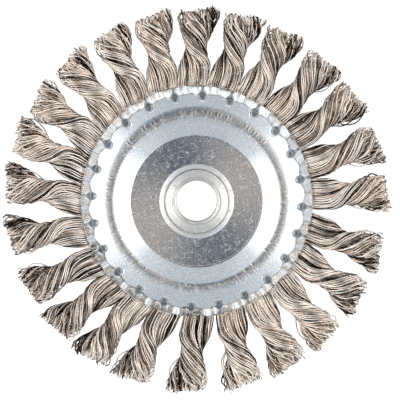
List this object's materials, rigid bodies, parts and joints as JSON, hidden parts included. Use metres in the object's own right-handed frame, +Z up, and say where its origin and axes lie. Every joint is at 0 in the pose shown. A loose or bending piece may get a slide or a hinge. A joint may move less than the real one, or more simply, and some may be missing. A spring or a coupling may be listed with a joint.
{
  "type": "knotted wire wheel brush",
  "caption": "Round wire wheel brush with twisted wire knots clamped between two pressed side plates and a threaded hub.",
  "frame": {"origin": "centre of the threaded bore, in the wheel's middle plane", "axes": "+Y along the spindle axis, from the front face that shows in use to the rear one; +Z up; the wheel stands upright with its front face towards -Y"},
  "size_m": [0.127, 0.013, 0.127],
  "materials": {
    "zinc_plate": "bright zinc plating, blue-white, lightly speckled and scratched",
    "disc_steel": "bare cold-rolled sheet, lightly oiled",
    "eyelet_steel": "zinc plated, satin where it was rolled over",
    "nut_steel": "turned, satin",
    "knot_wire": "hard-drawn wire, warm grey"
  },
  "bodies": {
    "root": {"front_side_plate": "zinc_plate", "rear_side_plate": "zinc_plate", "knot_holder_disc": "disc_steel", "hub_eyelet": "eyelet_steel", "arbor_nut": "nut_steel", "knot_01": "knot_wire", "knot_02": "knot_wire", "knot_03": "knot_wire", "knot_04": "knot_wire", "knot_05": "knot_wire", "knot_06": "knot_wire", "knot_07": "knot_wire", "knot_08": "knot_wire", "knot_09": "knot_wire", "knot_10": "knot_wire", "knot_11": "knot_wire", "knot_12": "knot_wire", "knot_13": "knot_wire", "knot_14": "knot_wire", "knot_15": "knot_wire", "knot_16": "knot_wire", "knot_17": "knot_wire", "knot_18": "knot_wire", "knot_19": "knot_wire", "knot_20": "knot_wire", "knot_21": "knot_wire", "knot_22": "knot_wire", "knot_23": "knot_wire", "knot_24": "knot_wire"}
  },
  "joints": []
}
